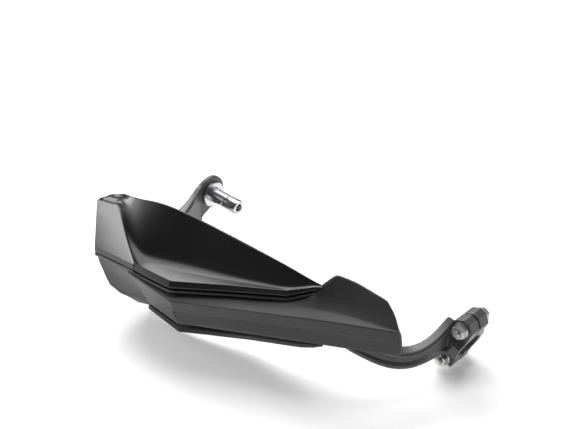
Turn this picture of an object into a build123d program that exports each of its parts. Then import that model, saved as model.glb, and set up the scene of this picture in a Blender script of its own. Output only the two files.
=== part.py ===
from build123d import *
import os
from math import cos, hypot, radians, sin

# Frame: origin at the centre of the bar-end collar's inboard face, +X inboard along the handlebar,
# +Y rearward to the rider, +Z up. Millimetres. This is the guard of the right-hand bar end.

# Overall sizes: from the bar's end to the clamp, from the bar forward to the foremost crease, and from the
# bar up to the top edge. All section and centre-line points are drawn at the second set and follow the first.
BAR_SPAN = 260.0
FRONT_REACH = 146.0
TOP_RISE = 71.0
DRAWN_SPAN = 260.0
DRAWN_REACH = 146.0
DRAWN_RISE = 71.0

# Bar-end plug, which slides into the open end of the handlebar
PLUG_D = 12.6
PLUG_LENGTH = 29.0
COLLAR_D = 21.6
COLLAR_THICK = 3.0
WEDGE_START = 10.0
WEDGE_RUN = 8.0
WEDGE_GAP = 0.2
END_CHAMFER = 1.0
BAR_BOLT_D = 6.0
BAR_BOLT_REACH = 24.0
WASHER_D = 15.5

# Outer arm: eye, gooseneck and straight lap
EYE_D = 30.0
EYE_THICK = 5.2
SHANK_TOP = 6.4
SHANK_BOTTOM = -21.5
EYE_CHAMFER = 1.0
LAP_HEIGHT = 16.0
LAP_THICK = 5.0
LAP_LEAD = 15.0
LAP_TAIL = 8.0
LAP_GROOVE = 0.8
RIB_HEIGHT = 1.2
RIB_WIDTH = 2.2
RIB_INSET = 0.4
RAIL_WIDTH = 4.0
ARM_CHAMFER = 1.5
TONGUE_SETBACK = 3.0
CUP_WALL = 1.9
ARM_BOSS_D = 9.0
ARM_BOSS_HOLE_D = 4.0

# Handlebar clamp on the inner arm
BAR_D = 22.2
CLAMP_WIDTH = 17.0
CLAMP_DROP = 8.5
BAR_DROOP = 23.0
CLAMP_TOP = 28.0
CLAMP_BOTTOM = 21.0
CLAMP_DEPTH = 15.5
LUG_DEPTH = 10.5
SPLIT_GAP = 1.0
CLAMP_CHAMFER = 5.5
BOLT_D = 6.0
BOLT_UP = 19.5
BOLT_DOWN = 16.8
NUT_AF = 10.0
NUT_HEIGHT = 6.0
FLANGE_D = 12.5
FLANGE_THICK = 1.4
NUT_ROOM = 0.7
BOLT_END = 2.5

# Moulded shells
SHELL_WALL = 3.0
PANEL_WALL = 2.5
DEFLECTOR_WALL = 2.4
DEFLECTOR_TUCK = 5.5
SEAT_GAP = 0.3
LIP_THICK = 2.0
LIP_DEPTH = 4.0
LIP_ROOT = 6.0
CREASE_STEP = 1.8
PEAK_STEP = 1.3
WING_STEP = 0.7
CREASE_RUN = 2.0
CREASE_SHARE = 0.41

# Fixings
SCREW_D = 6.0
SCREW_HEAD_D = 11.0
SCREW_HEAD_HEIGHT = 3.4
SCREW_HEAD_CHAMFER = 1.4
SCREW_LENGTH = 16.0
INSERT_D = 9.0
INSERT_LENGTH = 6.0
BOSS_D = 15.0
BOSS_SHARE = 0.15
SOCKET_AF = 4.0
BAR_SOCKET_AF = 5.0
SOCKET_DEPTH = 2.4
TAP_D = 3.0
TAP_HEAD_D = 5.2
TAP_HEAD_HEIGHT = 2.0
TAP_SEAT_WALL = 1.0
TAP_BITE = 2.2
HOLE_CLEARANCE = 0.3


def span(x):
    """A drawn distance along the bar, in proportion to the overall sizes, as the next two are."""
    return x * BAR_SPAN / DRAWN_SPAN


def reach(y):
    return y * FRONT_REACH / DRAWN_REACH


def rise(z):
    return z * TOP_RISE / DRAWN_RISE


def spot(x, y, z=0):
    """A drawn point, moved in proportion to the overall sizes."""
    return (span(x), reach(y), rise(z))


def upright(x, y, turn, profile):
    """Section in a vertical plane: local x runs forward, turned inboard, and local y is up."""
    angle = radians(turn)
    plane = Plane(origin=spot(x, y), x_dir=(sin(angle), -cos(angle), 0), z_dir=(-cos(angle), -sin(angle), 0))
    return plane, [(reach(forward), rise(height)) for forward, height in profile]


def inset(points, wall):
    """The inner side of a wall: each corner of an open profile moved to its mitred inner corner."""
    normals = []
    for (x0, y0), (x1, y1) in zip(points, points[1:]):
        length = hypot(x1 - x0, y1 - y0)
        normals.append(((y1 - y0) / length, (x0 - x1) / length))
    inner = []
    for spot, before, after in zip(points, normals[:1] + normals, normals + normals[-1:]):
        share = wall / (1 + before[0] * after[0] + before[1] * after[1])
        inner.append((spot[0] + share * (before[0] + after[0]), spot[1] + share * (before[1] + after[1])))
    return inner


def at(plane, spots):
    """Points of an upright section in the part's frame."""
    return [plane.from_local_coords(Vector(spot[0], spot[1], 0)) for spot in spots]


def sheet_section(station, wall):
    """Closed section of a moulded wall; its first three points are a curve's control points."""
    plane, profile = station
    outer = at(plane, profile)
    inner = at(plane, inset(profile, wall))
    edges = [Bezier(*outer[:3])]
    edges += [Line(a, b) for a, b in zip(outer[2:], outer[3:])]
    edges.append(Line(outer[-1], inner[-1]))
    inner.reverse()
    edges += [Line(a, b) for a, b in zip(inner[:-3], inner[1:-2])]
    edges.append(Bezier(*inner[-3:]))
    edges.append(Line(inner[-1], outer[0]))
    return Wire(edges)


def sheet(stations, wall):
    """A moulded wall lofted through its upright sections."""
    return Solid.make_loft([sheet_section(station, wall) for station in stations], ruled=True)


def strip(sections):
    """A solid lofted through plain polygons in upright planes."""
    wires = [Wire.make_polygon(at(plane, spots), close=True) for plane, spots in sections]
    return Solid.make_loft(wires, ruled=True)


def stepped(top, bottom, step):
    """Front face from the upper crease to the lower edge, with the small inward step part-way down."""
    length = hypot(bottom[0] - top[0], bottom[1] - top[1])
    along = ((bottom[0] - top[0]) / length, (bottom[1] - top[1]) / length)
    inward = (along[1], -along[0])
    upper = (top[0] + CREASE_SHARE * (bottom[0] - top[0]), top[1] + CREASE_SHARE * (bottom[1] - top[1]))
    lower = (
        upper[0] + CREASE_RUN * along[0] + step * inward[0],
        upper[1] + CREASE_RUN * along[1] + step * inward[1],
    )
    return [top, upper, lower, bottom]


# Sections of the upper panel, from its top edge down the scoop to the rim and its turned-down edge
PANEL_NOSE = upright(-3, -122, 39.8, [(0, 54), (7, 46), (14, 37.8), (23.4, 27), (24.4, 23)])
PANEL_RIDGE = upright(13.5, -116.5, 59.8, [(0, 62.5), (6.3, 58), (38, 43.7), (52.7, 37), (53.5, 32.5)])
PANEL_FOOT = upright(24, -114.3, 57.5, [(0, 66.5), (14, 45), (36, 38.3), (52.2, 37), (53, 32.5)])
PANEL_CREST = upright(57, -105.5, 35.2, [(0, 71), (12, 45), (27, 37.8), (43.4, 37), (44.1, 32.6)])
PANEL_CORNER = upright(89, -97.7, 10.8, [(0, 66), (12, 42), (21, 38.6), (42.6, 37.3), (43.2, 33)])
PANEL_MID = upright(125, -91, 21, [(0, 60.5), (8, 43.5), (14.5, 39.3), (26.8, 40), (27.2, 35.8)])
PANEL_RIGHT = upright(160, -84, 46.2, [(0, 54.8), (5, 44), (9, 42.3), (16.6, 43.4), (16.8, 39.6)])
PANEL_END = upright(182, -80, 64, [(0, 50.3), (2, 48.4), (4, 47.6), (6.6, 47.6), (7, 46)])
PANEL_SCOOP = [PANEL_RIDGE, PANEL_FOOT, PANEL_CREST, PANEL_CORNER, PANEL_MID, PANEL_RIGHT, PANEL_END]

# Sections of the main shell: hidden shelf, recess, upper crease, front face and lower edge
NOSE_START = upright(
    2, -138, 0,
    [(-14, 24), (-10, 24), (-6, 23.5), (-3, 22.5), (0.5, 20.5), (10.5, -12), (-5.4, -29)],
)
NOSE_STOP = upright(
    60, -146.4, 24,
    [(-18, 32), (-13, 31.6), (-9, 30.5), (-7.5, 29.3), (-1.2, 27.6), (-26, -14), (-31.5, -25)],
)
CHEEK_START = upright(
    56, -146, 24,
    [(-17, 32.5), (-12, 32), (-8.5, 30.8), (-7.5, 29.5), (0, 28), (-31.8, -25)],
)
CORNER_SPOT = (101.5, -145.5, 40)
CORNER_SHELF = [(-26, 34), (-20, 33.3), (-15, 31.5), (-11.5, 29.5)]
CORNER_FACE = [(0, 24), (-33.4, -25)]
CHEEK_STOP = upright(*CORNER_SPOT, CORNER_SHELF + CORNER_FACE)
FRONT_CORNER = upright(*CORNER_SPOT, CORNER_SHELF + stepped(*CORNER_FACE, CREASE_STEP))
FRONT_MID = upright(
    157, -118, 46,
    [(-30, 37.2), (-25, 36.6), (-20, 35), (-16.5, 33.5)] + stepped((0, 29), (-20.8, -10), CREASE_STEP),
)
FRONT_LATE = upright(
    191, -102, 42,
    [(-27, 40.5), (-19, 39), (-10, 34.8), (-8.5, 34.2)] + stepped((0, 32), (-12.5, -0.5), CREASE_STEP),
)
WING_NOTCH = upright(
    199, -98, 39,
    [(-19.5, 44.5), (-14, 37.5), (-9.5, 35.6), (-8, 35)] + stepped((0, 32.7), (-10, 2), CREASE_STEP),
)
WING_PEAK = upright(
    212, -91.9, 35,
    [(-27, 55.9), (-17, 39.5), (-10.5, 36.8), (-9, 36.2)] + stepped((0, 33.7), (-6.6, 5.5), PEAK_STEP),
)
WING_MID = upright(
    224, -86, 30,
    [(-24.5, 54.2), (-16, 39), (-10.5, 37.2), (-9, 36.8)] + stepped((0, 34.5), (-4, 8.6), WING_STEP),
)
WING_END = upright(
    264, -66.5, 0,
    [(-9, 44.5), (-6.5, 39.5), (-4, 37.6), (-3, 37.2)] + stepped((0, 36.2), (3.5, 17.5), 0),
)
FRONT = [FRONT_CORNER, FRONT_MID, FRONT_LATE, WING_NOTCH, WING_PEAK, WING_MID, WING_END]

# Outlines seen from the front (x, z) that trim the nose and round the wing's end
NOSE_EDGE = [(12, 28.5), (14.6, 19), (20.5, 8), (24.7, -7.5), (33, -15), (40, -31)]
NOSE_OUTSIDE = [(-40, -60), (-40, 28.5)]
WING_EDGE = [(234, 50.4), (241, 46.5), (247.5, 41), (252, 36.5), (255.5, 32), (257.5, 22), (258.5, 12)]
WING_OUTSIDE = [(300, 12), (300, 80), (234, 80)]

# Panel fixings: section, distance back from its crease, heights of the screw's seat, joint and boss top
PANEL_FIXINGS = [
    (CHEEK_START, -13.5, 25.8, 32.8, 38),
    (FRONT_CORNER, -20, 28, 33.8, 37),
    (FRONT_MID, -19.5, 28.8, 36.2, 39),
]

# Lap where both arms and the shell are screwed together: local x along the bar, local z rearward
SCREW_A = Vector(*spot(139, -100, 13))
LAP_LINE = Vector(*spot(196, -79, 15)) - SCREW_A
LAP_RUN = LAP_LINE.length
LAP_BOTTOM = SCREW_A.Z + LAP_LINE.Z - LAP_HEIGHT / 2
LAP = Plane(origin=SCREW_A, x_dir=LAP_LINE, z_dir=(-LAP_LINE.Y, LAP_LINE.X, 0))

# Lower deflector: where it follows the shell, and how its tail runs below the shell's lower edge
DEFLECTOR_END = upright(205.5, -95, 37, [(-5.4, 12.6), (-8.3, 3.7)])
DEFLECTOR_TAILS = [
    (CHEEK_START, (1.1, -8.2)),
    (FRONT_CORNER, (-0.5, -10.3)),
    (FRONT_MID, (-8.3, -15.6)),
    (FRONT_LATE, (-4.4, -12.7)),
    (WING_NOTCH, (-2.8, -9.8)),
    (DEFLECTOR_END, (-1.6, -6.2)),
]


def deflector_section(station, tail):
    """Outer line of the deflector: up behind the shell as far as the arms leave room, and its own tail."""
    plane, profile = station
    (x0, y0), (x1, y1) = profile[-2:]
    length = hypot(x1 - x0, y1 - y0)
    along = ((x1 - x0) / length, (y1 - y0) / length)
    behind = SHELL_WALL + SEAT_GAP
    knee = (x1 + behind * along[1], y1 - behind * along[0])
    room = LAP_BOTTOM - SEAT_GAP - DEFLECTOR_WALL / 2 - knee[1]
    tuck = max(SEAT_GAP, min(DEFLECTOR_TUCK, room))
    top = (knee[0] - tuck * along[0], knee[1] - tuck * along[1])
    return (plane, [top, knee, (knee[0] + reach(tail[0]), knee[1] + rise(tail[1]))])


DEFLECTOR = [deflector_section(station, tail) for station, tail in DEFLECTOR_TAILS]

# Centre line of the gooseneck: place, direction of travel, height, thickness and depth of the grooves
NECK_ROOT = ((-COLLAR_THICK - EYE_THICK / 2, -EYE_D / 2, -7.4), (0.08, -0.95, -0.28), 31, 4.6, 0.2)
NECK_BEND = (spot(34, -114, 4.5), (0.90, -0.42, 0.14), 26, 9, 1.8)
NECK = [
    NECK_ROOT,
    (spot(-1.7, -25, -11.3), (0.22, -0.96, -0.18), 34, 7, 1.2),
    (spot(5.5, -58, -11), (0.2, -0.97, 0.12), 30.5, 9, 1.8),
    (spot(14, -91, -3), (0.42, -0.88, 0.22), 28, 9, 1.8),
    NECK_BEND,
    (spot(68, -118.5, 8.5), (0.99, 0.12, 0.10), 23, 9, 1.8),
    (spot(100, -112.5, 10.8), (0.95, 0.30, 0.06), 19, 9.5, 1.2),
]

# Centre line of the inner arm from the lap to the clamp, with the same values
ARM = [
    (spot(222, -73, 9.2), (0.88, 0.34, -0.33), 15.5, 11, 1.2),
    (spot(238, -62.5, 0.8), (0.72, 0.62, -0.30), 15.5, 11, 2),
    (spot(247, -52, -3.3), (0.52, 0.84, -0.12), 15, 11, 2.2),
    (spot(252.5, -40, -4), (0.30, 0.95, 0.02), 15, 10, 2.2),
    (spot(255.3, -26, -3), (0.14, 0.99, 0.08), 18, 9, 2),
    ((BAR_SPAN - 3, -8, 8.5 - CLAMP_DROP), (0.06, 0.99, 0.10), 29, 8, 1),
]

# Clamp frame: local x along the handlebar, local y rearward, local z up across the bar
DROOP = radians(BAR_DROOP)
CLAMP_CENTRE = (BAR_SPAN, 0, -CLAMP_DROP)
CLAMP = Plane(origin=CLAMP_CENTRE, x_dir=(cos(DROOP), 0, -sin(DROOP)), z_dir=(sin(DROOP), 0, cos(DROOP)))


def blade_section(place, direction, height, thick, groove):
    """Section across an arm, its height upright: two rails with a grooved web between them."""
    along = Vector(*direction).normalized()
    upward = (Vector(0, 0, 1) - along * along.Z).normalized()
    plane = Plane(origin=place, x_dir=upward, z_dir=along)
    top, side = height / 2, thick / 2
    quarter = [
        (top, side - ARM_CHAMFER),
        (top - ARM_CHAMFER, side),
        (top - RAIL_WIDTH, side),
        (top - RAIL_WIDTH - groove, side - groove),
    ]
    corners = quarter + [(-x, y) for x, y in reversed(quarter)]
    corners += [(-x, -y) for x, y in quarter] + [(x, -y) for x, y in reversed(quarter)]
    return Wire.make_polygon(at(plane, corners), close=True)


def lap_section(distance):
    """Section of an arm across the lap's line, just inside the lap's own faces."""
    place = LAP.from_local_coords(Vector(distance, 0, 0))
    height, thick = LAP_HEIGHT - 2 * RIB_INSET, 2 * (LAP_THICK - RIB_INSET)
    return blade_section(place, tuple(LAP.x_dir), height, thick, LAP_GROOVE)


def hex_prism(across, height):
    return extrude(RegularPolygon(across / 2, 6, major_radius=False), height)


def cylinder_x(diameter, start, stop):
    """Cylinder on the plug's axis between two distances along X."""
    return extrude(Plane.YZ.offset(start) * Circle(diameter / 2), stop - start)


def seen_from_front(points):
    """Drawn (x, z) points, moved in proportion to the overall sizes."""
    return [(span(x), rise(z)) for x, z in points]


def trim_outline(edge, outside):
    """Prism along Y of what lies beyond an edge seen from the front."""
    region = make_face([edge, Polyline(edge @ 1, *seen_from_front(outside), edge @ 0)])
    return extrude(Plane.XZ * region, 2 * FRONT_REACH)


def over_panel(station):
    """Closed section of the open space above the panel, down to its outer face."""
    plane, profile = station
    top, rim = profile[0], profile[3]
    corners = at(plane, profile[:4] + [(rim[0], top[1] + TOP_RISE), (top[0], top[1] + TOP_RISE)])
    edges = [Bezier(*corners[:3])]
    edges += [Line(a, b) for a, b in zip(corners[2:], corners[3:] + corners[:1])]
    return Wire(edges)


def upper_panel():
    """Scooped panel over the shell's upper half, with its flat nose facet and the bosses under it."""
    panel = sheet([PANEL_NOSE, PANEL_RIDGE], PANEL_WALL) + sheet(PANEL_SCOOP, PANEL_WALL)
    above = Solid.make_loft([over_panel(station) for station in PANEL_SCOOP], ruled=True)
    for place, seat, joint, top in panel_fixings():
        boss = extrude(Circle(TAP_HEAD_D / 2), top - joint + 2 * PANEL_WALL)
        panel += place * Pos(0, 0, joint + SEAT_GAP) * boss - above
        panel -= place * Pos(0, 0, joint) * extrude(Circle(TAP_D / 2), top - joint - TAP_D / 2)
    return panel


def lip_section(station):
    """Ledge under the panel's turned-down edge, wedge-shaped back to the shell's wall."""
    plane, profile = station
    lowest = min([profile[-1][1]] + [height for _, height in inset(profile, PANEL_WALL)[-2:]])
    front, top = profile[-1][0] + SEAT_GAP, lowest - SEAT_GAP
    back = front - LIP_DEPTH
    return (plane, [(front, top), (front, top - LIP_THICK), (back, top - LIP_ROOT), (back, top)])


def shell_boss(distance):
    """Round boss from the arms' lap forward into the shell's front wall."""
    post = extrude(Circle(BOSS_D / 2), -BOSS_SHARE * FRONT_REACH)
    return LAP * Pos(distance, 0, -LAP_THICK) * post


def main_shell():
    """Moulded guard with its nose, cheek, creased front and wing."""
    lip = strip([lip_section(s) for s in [PANEL_NOSE] + PANEL_SCOOP])
    outside = []
    for plane, profile in FRONT[:-1]:
        top, bottom = profile[4], profile[-1]
        far = top[0] + FRONT_REACH
        outside.append((plane, profile[4:] + [(far, bottom[1] - BOSS_D), (far, top[1] + BOSS_D)]))
    bosses = shell_boss(0) + shell_boss(LAP_RUN) - strip(outside)
    front = sheet(FRONT, SHELL_WALL)
    nose = sheet([NOSE_START, NOSE_STOP], SHELL_WALL)
    cheek = sheet([CHEEK_START, CHEEK_STOP], SHELL_WALL)
    nose -= trim_outline(Polyline(*seen_from_front(NOSE_EDGE)), NOSE_OUTSIDE)
    shell = front + cheek + nose + lip + bosses
    shell -= trim_outline(Spline(*seen_from_front(WING_EDGE)), WING_OUTSIDE)
    for distance in (0, LAP_RUN):
        hole = extrude(Circle(INSERT_D / 2), -INSERT_LENGTH - HOLE_CLEARANCE)
        shell -= LAP * Pos(distance, 0, -LAP_THICK) * hole
    for place, seat, joint, top in panel_fixings():
        shell += place * Pos(0, 0, seat) * extrude(Circle(TAP_HEAD_D / 2 + TAP_SEAT_WALL), joint - seat)
        shell -= place * Pos(0, 0, seat) * extrude(Circle(TAP_D / 2 + HOLE_CLEARANCE), joint - seat)
    for place in deflector_fixings():
        shell -= place * extrude(Circle(TAP_D / 2), -SEAT_GAP - TAP_BITE)
    return shell


def lower_deflector():
    """Thin plate tucked behind the shell's lower wall, its tail showing below the shell's edge."""
    plate = strip([(plane, spots + inset(spots, DEFLECTOR_WALL)[::-1]) for plane, spots in DEFLECTOR])
    for place in deflector_fixings():
        plate -= place * Cylinder(TAP_D / 2 + HOLE_CLEARANCE, 4 * DEFLECTOR_WALL)
    return plate


def outer_arm():
    """Cast arm: eye, curved blade and the rear half of the lap, ribbed along its edges."""
    root = EYE_D / 2
    shank = [(0, root - 1), (0, 1 - root), (-root - 1, SHANK_BOTTOM), (-root - 1, SHANK_TOP)]
    outline = Circle(root) + make_face(Polyline(*shank, close=True))
    eye = extrude(Plane.YZ.offset(-COLLAR_THICK - EYE_THICK) * outline, EYE_THICK)
    eye = chamfer(eye.edges().filter_by(Axis.X, reverse=True), EYE_CHAMFER)
    sections = [blade_section(*stop) for stop in NECK] + [lap_section(-LAP_LEAD)]
    neck = Solid.make_loft(sections)
    bar = SlotOverall(LAP_LEAD + LAP_RUN + 2 * LAP_TAIL, LAP_HEIGHT)
    middle = (LAP_RUN - LAP_LEAD) / 2
    lap = LAP * Pos(middle, 0, 0) * extrude(bar, LAP_THICK)
    arm = eye + neck + lap
    rear = LAP_THICK + RIB_HEIGHT
    rib = extrude(Rectangle(LAP_RUN - 2 * SCREW_HEAD_D, RIB_WIDTH), -2 * RIB_HEIGHT)
    for side in (-1, 1):
        arm += LAP * Pos(LAP_RUN / 2, side * ((LAP_HEIGHT - RIB_WIDTH) / 2 - RIB_INSET), rear) * rib
    outer = LAP_HEIGHT / 2 - RIB_INSET
    cup = extrude(Circle(outer) - Circle(outer - CUP_WALL), -2 * RIB_HEIGHT)
    for distance in (0, LAP_RUN):
        arm += LAP * Pos(distance, 0, rear) * cup
        arm -= LAP * Pos(distance, 0, 0) * Cylinder(SCREW_D / 2 + HOLE_CLEARANCE, 4 * LAP_THICK)
    place, direction, height, thick, groove = NECK_BEND
    across = Plane(origin=place, x_dir=direction, z_dir=(-direction[1], direction[0], 0))
    arm += across * Cylinder(ARM_BOSS_D / 2, thick - groove)
    arm -= across * Cylinder(ARM_BOSS_HOLE_D / 2, 2 * thick)
    arm -= cylinder_x(BAR_BOLT_D + 2 * HOLE_CLEARANCE, -COLLAR_THICK - 2 * EYE_THICK, 0)
    return arm


def clamp_half(side):
    """One clamp half, front (side -1) or rear (side 1), in the clamp's own frame."""
    outline = Polyline(
        (side * SPLIT_GAP / 2, CLAMP_TOP),
        (side * LUG_DEPTH, CLAMP_TOP),
        (side * LUG_DEPTH, BOLT_UP - FLANGE_D / 2 - HOLE_CLEARANCE),
        (side * CLAMP_DEPTH, BAR_D / 4),
        (side * CLAMP_DEPTH, -BAR_D / 4),
        (side * LUG_DEPTH, -BOLT_DOWN + FLANGE_D / 2 + HOLE_CLEARANCE),
        (side * LUG_DEPTH, -CLAMP_BOTTOM),
        (side * SPLIT_GAP / 2, -CLAMP_BOTTOM),
        close=True,
    )
    body = extrude(Plane.YZ * make_face(outline), CLAMP_WIDTH / 2, both=True)
    tips = body.edges().filter_by(Axis.Y).group_by(Axis.Z)[-1]
    body = chamfer(tips, CLAMP_CHAMFER)
    body -= extrude(Plane.YZ * Circle(BAR_D / 2), CLAMP_WIDTH, both=True)
    for height in (BOLT_UP, -BOLT_DOWN):
        body -= Pos(0, 0, height) * Rot(90, 0, 0) * Cylinder(BOLT_D / 2 + HOLE_CLEARANCE, 4 * CLAMP_DEPTH)
    return body


def inner_arm():
    """Cast arm: front half of the lap, bent beam and the front clamp half."""
    tongue_length = LAP_LEAD + LAP_RUN + LAP_TAIL + TONGUE_SETBACK
    tongue = Box(tongue_length, LAP_HEIGHT, LAP_THICK, align=(Align.MIN, Align.CENTER, Align.MAX))
    tongue = LAP * Pos(TONGUE_SETBACK - LAP_LEAD, 0, 0) * tongue
    start = LAP_RUN + LAP_TAIL + TONGUE_SETBACK
    beam = Solid.make_loft([lap_section(start)] + [blade_section(*stop) for stop in ARM])
    behind = Box(4 * CLAMP_WIDTH, 4 * CLAMP_DEPTH, 4 * CLAMP_TOP)
    beam -= CLAMP * Pos(0, 2 * CLAMP_DEPTH - SPLIT_GAP / 2, 0) * behind
    beam -= CLAMP * extrude(Plane.YZ * Circle(BAR_D / 2 + NUT_ROOM), 2 * CLAMP_WIDTH, both=True)
    for height in (BOLT_UP, -BOLT_DOWN):
        room = extrude(Circle(FLANGE_D / 2 + NUT_ROOM), 4 * CLAMP_DEPTH)
        beam -= CLAMP * Pos(0, -LUG_DEPTH, height) * Rot(90, 0, 0) * room
    arm = tongue + beam + CLAMP * clamp_half(-1)
    for distance in (0, LAP_RUN):
        arm -= LAP * Pos(distance, 0, 0) * Cylinder(SCREW_D / 2 + HOLE_CLEARANCE, 4 * LAP_THICK)
    return arm


def clamp_cap():
    """Rear clamp half."""
    return CLAMP * clamp_half(1)


def clamp_bolts():
    """Two flange bolts from the rear, ends showing past the nuts in front."""
    length = 2 * LUG_DEPTH + NUT_HEIGHT + BOLT_END
    bolt = extrude(Circle(BOLT_D / 2), -length) + extrude(Circle(FLANGE_D / 2), FLANGE_THICK)
    bolt += hex_prism(NUT_AF, NUT_HEIGHT)
    places = [(0, LUG_DEPTH, BOLT_UP), (0, LUG_DEPTH, -BOLT_DOWN)]
    return [CLAMP * Pos(*place) * Rot(-90, 0, 0) * bolt for place in places]


def clamp_nuts():
    """Two flange nuts on the front of the clamp."""
    nut = extrude(Circle(FLANGE_D / 2), FLANGE_THICK) + hex_prism(NUT_AF, NUT_HEIGHT)
    nut -= extrude(Circle(BOLT_D / 2), NUT_HEIGHT)
    places = [(0, -LUG_DEPTH, BOLT_UP), (0, -LUG_DEPTH, -BOLT_DOWN)]
    return [CLAMP * Pos(*place) * Rot(90, 0, 0) * nut for place in places]


def plug_halves():
    """Turned plug blank cut obliquely into the collared sleeve and the expanding wedge."""
    blank = cylinder_x(COLLAR_D, -COLLAR_THICK, 0) + cylinder_x(PLUG_D, 0, PLUG_LENGTH)
    blank = chamfer(blank.faces().sort_by(Axis.X)[-1].edges(), END_CHAMFER)
    slope = WEDGE_RUN / PLUG_D
    middle = WEDGE_START + WEDGE_RUN / 2
    low, high, far = middle - slope * COLLAR_D, middle + slope * COLLAR_D, 3 * PLUG_LENGTH
    side = Polyline((low, -COLLAR_D), (high, COLLAR_D), (far, COLLAR_D), (far, -COLLAR_D), close=True)
    cutter = extrude(Plane.XZ * make_face(side), COLLAR_D, both=True)
    bore = cylinder_x(BAR_BOLT_D + 2 * HOLE_CLEARANCE, -COLLAR_THICK, PLUG_LENGTH)
    tapped = cylinder_x(BAR_BOLT_D, 0, PLUG_LENGTH + 1)
    sleeve = blank - cutter - bore
    wedge = (blank & Pos(WEDGE_GAP, 0, 0) * cutter) - tapped
    return sleeve, wedge


def bar_end_bolt():
    """Socket bolt from outboard, through the washer and eye into the wedge."""
    seat = -COLLAR_THICK - EYE_THICK - FLANGE_THICK
    bolt = cylinder_x(BAR_BOLT_D, seat, BAR_BOLT_REACH) + cylinder_x(SCREW_HEAD_D, seat - BAR_BOLT_D, seat)
    socket = Plane.YZ.offset(seat - BAR_BOLT_D) * hex_prism(BAR_SOCKET_AF, SOCKET_DEPTH)
    return bolt - socket


def bar_end_washer():
    """Plain washer between the bolt's head and the eye."""
    seat = -COLLAR_THICK - EYE_THICK
    ring = cylinder_x(WASHER_D, seat - FLANGE_THICK, seat)
    return ring - cylinder_x(BAR_BOLT_D + 2 * HOLE_CLEARANCE, seat - FLANGE_THICK, seat)


def shell_screws():
    """Two button-head screws from behind, through both arms into the shell's inserts."""
    head = Cylinder(SCREW_HEAD_D / 2, SCREW_HEAD_HEIGHT, align=(Align.CENTER, Align.CENTER, Align.MIN))
    head = chamfer(head.faces().sort_by(Axis.Z)[-1].edges(), SCREW_HEAD_CHAMFER)
    screw = head + extrude(Circle(SCREW_D / 2), -SCREW_LENGTH + LAP_THICK)
    screw -= Pos(0, 0, SCREW_HEAD_HEIGHT - SOCKET_DEPTH) * hex_prism(SOCKET_AF, SOCKET_DEPTH)
    return [LAP * Pos(distance, 0, LAP_THICK) * screw for distance in (0, LAP_RUN)]


def panel_fixings():
    """Upright places where a screw joins the shell's shelf to the panel: place, seat, joint and top."""
    for (plane, _), back, seat, joint, top in PANEL_FIXINGS:
        centre = plane.from_local_coords(Vector(reach(back), 0, 0))
        yield Pos(centre.X, centre.Y, 0), rise(seat), rise(joint), rise(top)


def panel_screws():
    """Small screws from under the shelf up into the panel's bosses."""
    screws = []
    for place, seat, joint, top in panel_fixings():
        head = Pos(0, 0, seat - TAP_HEAD_HEIGHT) * extrude(Circle(TAP_HEAD_D / 2), TAP_HEAD_HEIGHT)
        screws.append(place * (head + Pos(0, 0, seat) * extrude(Circle(TAP_D / 2), top - seat - TAP_D / 2)))
    return screws


def deflector_fixings():
    """Centres of the deflector's tucked patches, with Z out of its rear face."""
    for (plane_a, spots_a), (plane_b, spots_b) in zip(DEFLECTOR[:3], DEFLECTOR[1:4]):
        top_a, knee_a = at(plane_a, spots_a[:2])
        top_b, knee_b = at(plane_b, spots_b[:2])
        centre = (top_a + knee_a + top_b + knee_b) * 0.25
        run = (top_b + knee_b - top_a - knee_a).normalized()
        rise = top_a + top_b - knee_a - knee_b
        yield Plane(origin=centre, x_dir=run, z_dir=rise.cross(run))


def deflector_screws():
    """Small screws from behind, through the deflector into the shell's wall."""
    length = DEFLECTOR_WALL + SEAT_GAP + TAP_BITE - HOLE_CLEARANCE
    screw = Pos(0, 0, DEFLECTOR_WALL) * extrude(Circle(TAP_HEAD_D / 2), TAP_HEAD_HEIGHT)
    screw += Pos(0, 0, DEFLECTOR_WALL) * extrude(Circle(TAP_D / 2), -length)
    return [place * screw for place in deflector_fixings()]


def shell_inserts():
    """Threaded sleeves moulded into the shell's bosses."""
    ring = extrude(Circle(INSERT_D / 2) - Circle(SCREW_D / 2), -INSERT_LENGTH)
    return [LAP * Pos(distance, 0, -LAP_THICK) * ring for distance in (0, LAP_RUN)]


plug_sleeve, plug_wedge = plug_halves()
PIECES = {
    "main_shell": main_shell(),
    "upper_panel": upper_panel(),
    "lower_deflector": lower_deflector(),
    "outer_arm": outer_arm(),
    "inner_arm": inner_arm(),
    "clamp_cap": clamp_cap(),
    "clamp_bolts": clamp_bolts(),
    "clamp_nuts": clamp_nuts(),
    "plug_sleeve": plug_sleeve,
    "plug_wedge": plug_wedge,
    "bar_end_bolt": bar_end_bolt(),
    "bar_end_washer": bar_end_washer(),
    "shell_screws": shell_screws(),
    "shell_inserts": shell_inserts(),
    "panel_screws": panel_screws(),
    "deflector_screws": deflector_screws(),
}

os.makedirs("parts", exist_ok=True)
for name, piece in PIECES.items():
    solid = Compound(children=piece) if isinstance(piece, list) else piece
    export_step(solid, f"parts/{name}.step")
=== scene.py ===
from math import cos, hypot, pi, radians, sin

import bmesh
import bpy
import numpy as np
from mathutils import Matrix, Vector
from mathutils.bvhtree import BVHTree


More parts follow.
